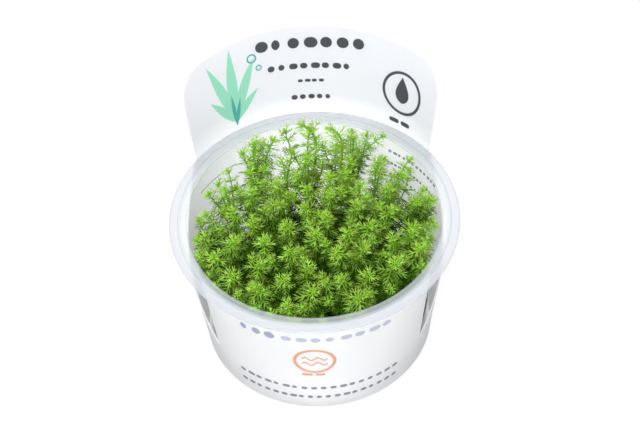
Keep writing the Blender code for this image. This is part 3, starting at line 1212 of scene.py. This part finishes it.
def tube(path: np.ndarray, radii: np.ndarray, sides: int) -> tuple[np.ndarray, np.ndarray]:
    """Make a tapered tube along a path that ends in a point.

    Args:
        path: The points of its axis.
        radii: The radius at each point but the last.
        sides: How many sides it has.

    Returns:
        Its points and its triangles.
    """
    ahead = np.gradient(path, axis=0)
    ahead /= np.linalg.norm(ahead, axis=1, keepdims=True)
    steep = abs(ahead[0][2]) >= 0.8
    helper = np.array([1.0, 0.0, 0.0] if steep else [0.0, 0.0, 1.0])
    points, faces = [], []
    for index in range(len(path) - 1):
        side = np.cross(helper, ahead[index])
        side /= np.linalg.norm(side)
        rise = np.cross(ahead[index], side)
        for corner in range(sides):
            angle = TURN * corner / sides
            points.append(path[index] + radii[index] * (math.cos(angle) * side + math.sin(angle) * rise))
    points.append(path[-1])
    for ring in range(len(path) - 2):
        for corner in range(sides):
            after = (corner + 1) % sides
            low, low_after = ring * sides + corner, ring * sides + after
            faces += [(low, low_after, low_after + sides), (low, low_after + sides, low + sides)]
    last = (len(path) - 2) * sides
    faces += [(last + corner, last + (corner + 1) % sides, len(points) - 1) for corner in range(sides)]
    return np.array(points), np.array(faces)


@dataclass(frozen=True)
class LeafStage:
    """How leaves of one age look: their size, how many pairs of segments they have and how they stand."""

    length: float
    pairs: int
    lift: float
    next_whorl: float


@dataclass
class LeafPattern:
    """One feathery leaf of unit length: a midrib with paired thread-like segments.

    It grows along +X from the origin, with +Z up.
    """

    seed: int
    stage: LeafStage
    thread: float = 0.00017
    midrib_thread: float = 0.0002
    midrib_taper: tuple[float, ...] = (1.0, 0.95, 0.75)
    midrib_shares: tuple[float, ...] = (0.0, 0.40, 0.74, 1.0)
    droop: float = 0.10
    arch: float = 0.06
    pairs_from: float = 0.04
    pairs_over: float = 0.60
    segment_length: float = 0.56
    spread: float = 56.0
    spread_loss: float = 44.0
    spread_scatter: float = 7.0
    droop_scatter: tuple[float, float] = (0.4, 1.6)
    sway: float = 0.12
    foot_scatter: float = 0.03
    foot_reach: float = 0.7
    tip_reach: float = 0.3
    lift: tuple[float, float] = (-0.10, 0.30)
    shortening: float = 0.55
    length_scatter: tuple[float, float] = (0.85, 1.12)
    knee: float = 0.66
    tip_bend: tuple[float, float] = (0.12, -0.06)
    thread_taper: tuple[float, ...] = (1.0, 0.90)
    sides: int = 3

    def __post_init__(self) -> None:
        """Draw the leaf."""
        source = random.Random(self.seed)
        droop = self.droop * source.uniform(*self.droop_scatter)
        sway = source.uniform(-self.sway, self.sway)
        length = self.stage.length

        def rib(share: float) -> np.ndarray:
            """Point of the midrib at a share of its length."""
            return np.array([share, sway * share * share, self.arch * share - droop * share * share])

        path = np.array([rib(share) for share in self.midrib_shares])
        parts = [tube(path, self.midrib_thread / length * np.array(self.midrib_taper), self.sides)]
        reach = [np.repeat(self.midrib_shares[:-1], self.sides), [1.0]]
        for pair in range(self.stage.pairs):
            share = self.pairs_from + self.pairs_over * (pair + 0.5) / self.stage.pairs
            for side in (-1.0, 1.0):
                start = share + source.uniform(-self.foot_scatter, self.foot_scatter)
                branch = self.segment(source, rib(start), share, side)
                parts.append(tube(branch, self.thread / length * np.array(self.thread_taper), self.sides))
                foot = start * self.foot_reach
                reach += [np.full(self.sides, foot), np.full(self.sides, foot + self.tip_reach), [1.0]]
        starts = np.cumsum([0] + [len(points) for points, _ in parts])
        self.points = np.concatenate([points for points, _ in parts])
        self.faces = np.concatenate([faces + start for (_, faces), start in zip(parts, starts)])
        self.reach = np.clip(np.concatenate(reach), 0.0, 1.0)

    def segment(self, source: random.Random, foot: np.ndarray, share: float, side: float) -> np.ndarray:
        """Draw the path of one thread-like segment.

        Args:
            source: Seeded draws.
            foot: Where it leaves the midrib.
            share: How far along the midrib its pair stands.
            side: Its side, -1 or 1.

        Returns:
            Its three points.
        """
        scatter = source.uniform(-self.spread_scatter, self.spread_scatter)
        spread = math.radians(self.spread - self.spread_loss * share + scatter)
        lift = source.uniform(*self.lift)
        length = self.segment_length * (1.0 - self.shortening * share) * source.uniform(*self.length_scatter)
        ahead = np.array([math.cos(spread), side * math.sin(spread), lift])
        bend = np.array([self.tip_bend[0] * length, 0.0, self.tip_bend[1] * length])
        return np.array([foot, foot + ahead * length * self.knee, foot + ahead * length + bend])


@dataclass
class Stem:
    """One stem of a shoot: its path, how far up the shoot it stands, and how its whorls are spaced."""

    path: np.ndarray
    radius: float
    leaf_scale: float
    spacing_scale: float
    leafy_from: float
    growth_base: float
    low_scale: float = 1.0

    def lengths(self) -> np.ndarray:
        """Length along the path at each of its points."""
        steps = np.linalg.norm(np.diff(self.path, axis=0), axis=1)
        return np.concatenate([[0.0], np.cumsum(steps)])


@dataclass(frozen=True)
class StemHabit:
    """How the main stems grow, bend and end in a bud."""

    radius: float = 0.00052
    thickness: tuple[float, float] = (0.9, 1.15)
    taper: float = 0.45
    points: int = 26
    sides: int = 6
    bare_foot: float = 0.0150
    bow: tuple[float, float] = (0.6, 0.4)
    sway: tuple[float, float] = (0.0005, 0.0013)
    sway_waves: float = 2.2
    lean: tuple[float, float] = (0.0008, 0.0052)
    lean_way: float = -math.pi / 2
    lean_scatter: float = 0.9
    lean_from: float = 0.70
    lean_power: float = 2.2
    nod_power: float = 2.4
    nod_rise: float = 0.0016
    bud_length: float = 0.0018
    bud_radius: float = 0.00052
    bud_shares: tuple[float, ...] = (0.0, 0.35, 0.70, 1.0)
    bud_taper: tuple[float, ...] = (0.55, 1.0, 0.70)
    bud_sunk: float = 0.75
    bud_sides: int = 5


@dataclass(frozen=True)
class SideHabit:
    """How the side stems leave the main stem and rise beside its crown."""

    radius: float = 0.00039
    points: int = 12
    start: tuple[float, float] = (0.42, 0.66)
    reach: tuple[float, float] = (0.0050, 0.0080)
    drop: tuple[float, float] = (0.0005, 0.0085)
    loose_drop: float = 0.0075
    rise: float = 0.006
    wall_gap: float = 0.0020
    free_knee: tuple[float, float] = (0.55, 0.22)
    reaching_knee: tuple[float, float] = (0.15, 0.58)
    knee_across: tuple[float, float] = (-0.0025, 0.0025)
    knee_back: tuple[float, float] = (-0.0005, 0.0040)
    bare_foot: float = 0.0025
    scale: tuple[float, float] = (0.82, 0.96)
    spacing: tuple[float, float] = (0.92, 1.1)
    scatter: float = 0.15
    edge_start: float = 0.8
    edge_span: float = 2.6


@dataclass(frozen=True)
class WhorlHabit:
    """How whorls follow each other down a stem, and how much their leaves differ."""

    leaves: int = 4
    extra: tuple[int, ...] = (0, 0, 1)
    first: float = 0.0009
    full_grown: int = 3
    size: tuple[float, float] = (0.90, 1.10)
    leaf_size: tuple[float, float] = (0.86, 1.12)
    around: float = 0.13
    lift: float = 11.0
    roll: float = 0.45
    twist: float = 0.2
    spacing: tuple[float, float] = (0.88, 1.15)


@dataclass(frozen=True)
class RootHabit:
    """How the roots spread in the gel."""

    count: int = 3
    depth: float = 0.0080
    length: tuple[float, float] = (0.004, 0.008)
    rise: float = 0.0022
    fall: float = 0.0040
    wall_gap: float = 0.0008
    points: int = 5
    radii: tuple[float, ...] = (0.00022, 0.0002, 0.00016, 0.0001)
    sides: int = 3


@dataclass
class MilfoilPlanting:
    """The bunch of milfoil: every shoot with its stem, side stems, whorls of feathery leaves and roots.

    Tall shoots, whose crowns pass loose_height, are loose: thicker stems and wider spaced whorls. Loose and
    rear shoots start higher on the colour ramp, so they are painted lighter: painted light.
    """

    cup: CultureCup
    seed: int = 29
    seeds_apart: int = 1000
    patterns: int = 8
    stages: tuple[LeafStage, ...] = (
        LeafStage(0.0014, 0, 60.0, 0.0012),
        LeafStage(0.0036, 2, 38.0, 0.0026),
        LeafStage(0.0048, 2, 18.0, 0.0036),
        LeafStage(0.0050, 3, 2.0, 0.0036),
        LeafStage(0.0048, 3, -10.0, 0.0034),
    )
    stem: StemHabit = StemHabit()
    side: SideHabit = SideHabit()
    whorl: WhorlHabit = WhorlHabit()
    root: RootHabit = RootHabit()
    loose_height: float = 0.0625
    loose_spacing: float = 1.35
    loose_scale: float = 1.10
    loose_thickness: float = 1.45
    # Painted light: loose and rear shoots start higher on the colour ramp, so they are painted lighter than
    # the front shoots.
    loose_painted_light_growth: float = 0.72
    rear_from: float = 0.0120
    rear_painted_light_growth: float = 0.50
    rear_side_painted_light_growth: float = 0.68
    rear_sides: int = 2
    growth: float = 0.12
    side_growth: float = 0.45
    side_counts: tuple[int, ...] = (1, 2, 2, 3)
    front_to: float = -0.0215
    front_side_counts: tuple[int, ...] = (1, 1, 2)
    edge_radius: float = 0.0280
    wall_radius: float = 0.0330
    wall_leaf_scale: float = 1.25
    wall_gap: float = 0.0005
    lip_gap: float = 0.0004
    overhang: float = 2.2
    nodding: dict[str, Place] = field(default_factory=lambda: {
        "shoot_49": (-0.0088, -0.0010, 0.0095),
        "shoot_52": (-0.0084, 0.0008, 0.0095),
    })
    reaching: dict[str, Place] = field(default_factory=lambda: {
        "shoot_51": (0.0256, 0.0280, 0.0650),
        "shoot_40": (-0.0300, 0.0210, 0.0580),
        "shoot_24": (0.0418, -0.0080, 0.0575),
        "shoot_34": (0.0405, 0.0040, 0.0580),
        "shoot_43": (0.0345, 0.0215, 0.0600),
        "shoot_50": (-0.0130, 0.0290, 0.0645),
        "shoot_48": (-0.0065, 0.0270, 0.0600),
    })
    finish: LeafTissue = LeafTissue("milfoil tissue")

    def __post_init__(self) -> None:
        """Draw the leaf patterns and the one material that all shoots share."""
        self.leaf_patterns = [[LeafPattern(self.seed + index, stage) for index in range(self.patterns)]
                              for stage in self.stages]
        self.material = self.finish.build()

    @staticmethod
    def ends(node: str) -> tuple[np.ndarray, np.ndarray]:
        """Read where a shoot's solid starts and ends.

        Args:
            node: Name of the solid.

        Returns:
            The middle of its foot and its highest point.
        """
        level = 1e-5
        corners = np.array([tuple(vert.co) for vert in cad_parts[node].data.vertices])
        low = corners[corners[:, 2] < corners[:, 2].min() + level]
        return low.mean(axis=0), corners[corners[:, 2].argmax()]

    def main_path(self, root: np.ndarray, crown: np.ndarray, source: random.Random,
                  nod: Optional[Place]) -> np.ndarray:
        """Bend the main stem from its root in the gel to its crown, which leans over.

        Args:
            root: Where it leaves the gel.
            crown: Where it ends.
            source: Seeded draws.
            nod: How far its top leans over and how much it flattens, if it nods a lot.

        Returns:
            The stem's path.
        """
        stem = self.stem
        swing = TURN * source.random()
        wave = source.uniform(*stem.sway)
        towards = source.gauss(stem.lean_way, stem.lean_scatter)
        small = source.uniform(*stem.lean)
        lean = np.array([small * math.cos(towards), small * math.sin(towards), 0.0])
        power, flat = stem.lean_power, 0.0
        if nod is not None:
            lean, power, flat = np.array([nod[0], nod[1], 0.0]), stem.nod_power, nod[2]
            crown = crown + np.array([0.0, 0.0, stem.nod_rise])
        path = [root - np.array([0.0, 0.0, self.root.depth])]
        for step in range(stem.points):
            share = step / (stem.points - 1)
            bow = share * (stem.bow[0] + stem.bow[1] * share)
            point = root + (crown - lean - root) * np.array([bow, bow, share])
            late = max(0.0, (share - stem.lean_from) / (1.0 - stem.lean_from))
            point = point + lean * late ** power + np.array([0.0, 0.0, flat * (late - late ** power)])
            sway = wave * math.sin(math.pi * share) * math.sin(stem.sway_waves * math.pi * share + swing)
            path.append(point + np.array([math.cos(swing) * sway, math.sin(swing) * sway, 0.0]))
        return np.array(path)

    def side_path(self, main: np.ndarray, around: float, source: random.Random,
                  end: Optional[Place] = None) -> np.ndarray:
        """Bend a side stem out of the main stem and up beside its crown.

        Args:
            main: The main stem's path.
            around: The way it leaves, as an angle round the main stem.
            source: Seeded draws.
            end: Where it ends, if that is known.

        Returns:
            The side stem's path.
        """
        side, crown = self.side, main[-1]
        start = main[int(len(main) * source.uniform(*side.start))]
        reach = source.uniform(*side.reach)
        drop = source.uniform(*side.drop) + (side.loose_drop if crown[2] > self.loose_height else 0.0)
        top = crown + np.array([reach * math.cos(around), reach * math.sin(around), -drop])
        top = self.kept_inside(top[None, :], side.wall_gap)[0] if end is None else np.array(end)
        top[2] = max(top[2], start[2] + side.rise)
        out, up = side.free_knee if end is None else side.reaching_knee
        knee = start + (top - start) * np.array([out, out, up])
        knee = knee + np.array([source.uniform(*side.knee_across), source.uniform(*side.knee_back), 0.0])
        shares = np.linspace(0.0, 1.0, side.points)[:, None]
        return (1 - shares) ** 2 * start + 2 * shares * (1 - shares) * knee + shares ** 2 * top

    def kept_inside(self, points: np.ndarray, gap: float) -> np.ndarray:
        """Press points that would pass through the cup's wall back inside it.

        Args:
            points: The points.
            gap: How far from the wall they stay.

        Returns:
            The points, moved where they were too far out.
        """
        cup = self.cup
        limit = cup.inner_radius(np.minimum(points[:, 2], cup.flange_top)) - gap
        over_rim = np.maximum(points[:, 2] - cup.flange_top - cup.lip_height - self.lip_gap, 0.0)
        limit = limit + self.overhang * over_rim
        away = np.hypot(points[:, 0], points[:, 1])
        factor = np.minimum(1.0, limit / np.maximum(away, 1e-9))
        return points * np.stack([factor, factor, np.ones_like(factor)], axis=1)

    def add_stem(self, shoot: ShootMesh, stem: Stem, source: random.Random) -> None:
        """Add a stem and the closed bud that ends it.

        Args:
            shoot: The shoot's mesh.
            stem: The stem.
            source: Seeded draws.
        """
        habit = self.stem
        share = stem.lengths() / stem.lengths()[-1]
        points, faces = tube(stem.path, stem.radius * (1.0 - habit.taper * share[:-1]), habit.sides)
        growth = stem.growth_base + (1.0 - stem.growth_base) * share
        growth = np.concatenate([np.repeat(growth[:-1], habit.sides), [growth[-1]]])
        shoot.add(points, faces, growth, 0.0, source.random(), Tissue.STEM)
        tip = stem.path[-1]
        way = tip - stem.path[-2]
        way /= np.linalg.norm(way)
        path = np.array([tip + way * habit.bud_length * (part - habit.bud_sunk)
                         for part in habit.bud_shares])
        points, faces = tube(path, habit.bud_radius * np.array(habit.bud_taper), habit.bud_sides)
        shoot.add(self.kept_inside(points, self.wall_gap), faces, 1.0, 0.1, source.random(), Tissue.LEAF)

    @staticmethod
    def leaf_turn(way: np.ndarray, angle: float, lift: float, roll: float) -> np.ndarray:
        """Give the turn that sets a leaf on its stem.

        Args:
            way: The stem's direction there.
            angle: The leaf's angle round the stem.
            lift: Its lift above a right angle to the stem, in degrees.
            roll: Its roll about its own midrib.

        Returns:
            The rotation matrix.
        """
        local = (Matrix.Rotation(angle, 3, "Z") @ Matrix.Rotation(-math.radians(lift), 3, "Y")
                 @ Matrix.Rotation(roll, 3, "X"))
        return np.array(Vector((0.0, 0.0, 1.0)).rotation_difference(Vector(way)).to_matrix() @ local)

    def add_whorls(self, shoot: ShootMesh, stem: Stem, source: random.Random) -> None:
        """Add the whorls of a stem from its crown downwards.

        Args:
            shoot: The shoot's mesh.
            stem: The stem.
            source: Seeded draws.
        """
        habit, lengths = self.whorl, stem.lengths()
        total = lengths[-1]
        ahead = np.gradient(stem.path, axis=0)
        ahead /= np.linalg.norm(ahead, axis=1, keepdims=True)
        down, index = habit.first, 0
        twist = TURN * source.random()
        while down < total - stem.leafy_from:
            at = total - down
            centre, way = [np.array([np.interp(at, lengths, line[:, axis]) for axis in range(3)])
                           for line in (stem.path, ahead)]
            age = min(index, len(self.stages) - 1)
            stage = self.stages[age]
            low_scale = stem.low_scale if age >= habit.full_grown else 1.0
            size = stage.length * stem.leaf_scale * low_scale * source.uniform(*habit.size)
            growth = stem.growth_base + (1.0 - stem.growth_base) * at / total
            count = habit.leaves + source.choice(habit.extra)
            for leaf in range(count):
                angle = twist + TURN * (leaf + source.uniform(-habit.around, habit.around)) / count
                lift = stage.lift + source.uniform(-habit.lift, habit.lift)
                length = size * source.uniform(*habit.leaf_size)
                draw = source.random()
                pattern = source.choice(self.leaf_patterns[age])
                turn = self.leaf_turn(way, angle, lift, source.uniform(-habit.roll, habit.roll))
                points = self.kept_inside(centre + (pattern.points * length) @ turn.T, self.wall_gap)
                shoot.add(points, pattern.faces, growth, pattern.reach, draw, Tissue.LEAF)
            twist += math.pi / count + source.uniform(-habit.twist, habit.twist)
            spacing = stem.spacing_scale if age < habit.full_grown else min(1.0, stem.spacing_scale)
            down += stage.next_whorl * spacing * source.uniform(*habit.spacing) / low_scale
            index += 1

    def add_roots(self, shoot: ShootMesh, foot: np.ndarray, source: random.Random) -> None:
        """Add a few pale roots that spread in the gel from the stem's foot.

        Args:
            shoot: The shoot's mesh.
            foot: The stem's lowest point.
            source: Seeded draws.
        """
        habit = self.root
        for _ in range(habit.count):
            angle = TURN * source.random()
            length = source.uniform(*habit.length)
            path = np.array([foot + np.array([math.cos(angle) * length * share,
                                              math.sin(angle) * length * share,
                                              habit.rise - habit.fall * share * share])
                             for share in np.linspace(0.0, 1.0, habit.points)])
            points, faces = tube(self.kept_inside(path, habit.wall_gap), np.array(habit.radii), habit.sides)
            shoot.add(points, faces, 0.0, 0.5, source.random(), Tissue.ROOT)

    def stems(self, node: str, source: random.Random) -> list[Stem]:
        """Lay out the main stem and the side stems of a shoot.

        Args:
            node: Name of the solid that the shoot replaces.
            source: Seeded draws.

        Returns:
            The stems, the main one first.
        """
        stem, side = self.stem, self.side
        root, crown = self.ends(node)
        main = self.main_path(root, crown, source, self.nodding.get(node))
        loose, rear = crown[2] > self.loose_height, crown[1] > self.rear_from
        spacing, scale = (self.loose_spacing, self.loose_scale) if loose else (1.0, 1.0)
        thick = stem.radius * (self.loose_thickness if loose else source.uniform(*stem.thickness))
        away = math.hypot(crown[0], crown[1])
        low_scale = self.wall_leaf_scale if away > self.wall_radius and not rear else 1.0
        # Painted light: loose and rear shoots get a lighter start on the colour ramp.
        growth = self.loose_painted_light_growth if loose else self.rear_painted_light_growth if rear else self.growth
        stems = [Stem(main, thick, scale, spacing, stem.bare_foot, growth, low_scale)]
        around, span = TURN * source.random(), TURN
        if away > self.edge_radius:
            around, span = math.atan2(crown[1], crown[0]) - side.edge_start, side.edge_span
        count = self.rear_sides if loose or rear else source.choice(self.side_counts)
        if crown[1] < self.front_to:
            count = source.choice(self.front_side_counts)
        paths = []
        for index in range(count):
            way = around + span * (index + source.uniform(-side.scatter, side.scatter)) / count
            paths.append(self.side_path(main, way, source))
        if node in self.reaching:
            paths.append(self.side_path(main, around, source, self.reaching[node]))
        growth = self.rear_side_painted_light_growth if rear else self.side_growth
        for path in paths:
            stems.append(Stem(path, side.radius, scale * source.uniform(*side.scale),
                              source.uniform(*side.spacing), side.bare_foot, growth, low_scale))
        return stems

    def build_shoot(self, node: str, number: int) -> bpy.types.Object:
        """Build one shoot in place of its solid.

        Args:
            node: Name of the solid.
            number: Its number, which seeds its draws.

        Returns:
            The shoot.
        """
        source = random.Random(self.seeds_apart * self.seed + number)
        shoot = ShootMesh()
        stems = self.stems(node, source)
        for stem in stems:
            self.add_stem(shoot, stem, source)
            self.add_whorls(shoot, stem, source)
        self.add_roots(shoot, stems[0].path[0], source)
        name = f"milfoil_{node}"
        return place_piece(name, shoot.mesh(name), node, [self.material])

    def build(self) -> list[bpy.types.Object]:
        """Build every shoot, in the order of their names."""
        nodes = sorted(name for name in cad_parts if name.startswith("shoot_"))
        return [self.build_shoot(node, number) for number, node in enumerate(nodes)]


@dataclass(frozen=True)
class SoftBox:
    """A square soft light."""

    name: str
    place: Place
    size: float
    power: float

    def build(self, aim: Vector) -> None:
        """Hang the light.

        Args:
            aim: The point that it looks at.
        """
        light = bpy.data.lights.new(self.name, "AREA")
        light.shape = "SQUARE"
        light.size = self.size
        light.energy = self.power
        box = bpy.data.objects.new(self.name, light)
        box.location = self.place
        box.rotation_mode = "QUATERNION"
        box.rotation_quaternion = (aim - Vector(self.place)).to_track_quat("-Z", "Y")
        bpy.context.scene.collection.objects.link(box)


@dataclass
class StudioSet:
    """White floor, white surroundings, soft lights and the camera."""

    floor_half: float = 3.0
    surround: float = 0.42
    camera_place: Place = (0.00742, -0.42524, 0.54936)
    camera_elevation: float = 49.20
    camera_heading: float = -0.73
    camera_roll: float = -2.65
    lens: float = 106.9
    sensor: float = 36.0
    clip: tuple[float, float] = (0.01, 20.0)
    aim: Place = (0.0, 0.0, 0.045)
    boxes: tuple[SoftBox, ...] = (
        SoftBox("key light", (-0.15, -0.60, 0.98), 0.40, 10.0),
        SoftBox("front light", (0.10, -0.90, 0.95), 0.70, 3.5),
        SoftBox("back light", (0.04, 0.75, 0.60), 0.60, 4.5),
    )

    def build_floor(self) -> None:
        """Lay the floor."""
        half = self.floor_half
        mesh = bpy.data.meshes.new("studio_floor")
        corners = [(-half, -half, 0.0), (half, -half, 0.0), (half, half, 0.0), (-half, half, 0.0)]
        mesh.from_pydata(corners, [], [(0, 1, 2, 3)])
        mesh.materials.append(StudioFloor("studio white").build())
        floor = bpy.data.objects.new("studio_floor", mesh)
        bpy.context.scene.collection.objects.link(floor)

    def build_light(self) -> None:
        """Set the surroundings and hang the lights."""
        world = bpy.data.worlds.new("studio surround")
        world.use_nodes = True
        background = world.node_tree.nodes["Background"]
        background.inputs["Color"].default_value = (1.0, 1.0, 1.0, 1.0)
        background.inputs["Strength"].default_value = self.surround
        bpy.context.scene.world = world
        for box in self.boxes:
            box.build(Vector(self.aim))
        bpy.context.scene.view_settings.view_transform = "Standard"

    def build_camera(self) -> None:
        """Set up the camera at the photograph's angle."""
        camera = bpy.data.objects.new("camera", bpy.data.cameras.new("camera"))
        camera.data.sensor_width = self.sensor
        camera.data.lens = self.lens
        camera.data.clip_start, camera.data.clip_end = self.clip
        elevation, heading = math.radians(self.camera_elevation), math.radians(self.camera_heading)
        ahead = Vector((math.sin(heading) * math.cos(elevation), math.cos(heading) * math.cos(elevation),
                        -math.sin(elevation)))
        level = ahead.to_track_quat("-Z", "Y")
        camera.rotation_mode = "QUATERNION"
        camera.rotation_quaternion = level @ Quaternion((0.0, 0.0, 1.0), math.radians(self.camera_roll))
        camera.location = self.camera_place
        bpy.context.scene.collection.objects.link(camera)
        bpy.context.scene.camera = camera

    def build(self) -> None:
        """Build the whole set."""
        self.build_floor()
        self.build_light()
        self.build_camera()


def write_sizes() -> None:
    """Update the view layer."""
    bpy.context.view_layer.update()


def main() -> None:
    """Build every piece and the studio."""
    logging.basicConfig(level=logging.INFO, format="%(message)s")
    StudioSet().build()
    cup = CultureCup()
    pieces = [cup.build(), GelDisc(cup).build(), CardSleeve().build(), *MilfoilPlanting(cup).build()]
    for piece in pieces:
        LOG.info("%s: %d faces", piece.name, len(piece.data.polygons))
    LOG.info("all pieces: %d faces", sum(len(piece.data.polygons) for piece in pieces))
    write_sizes()


if __name__ == "__main__":
    main()
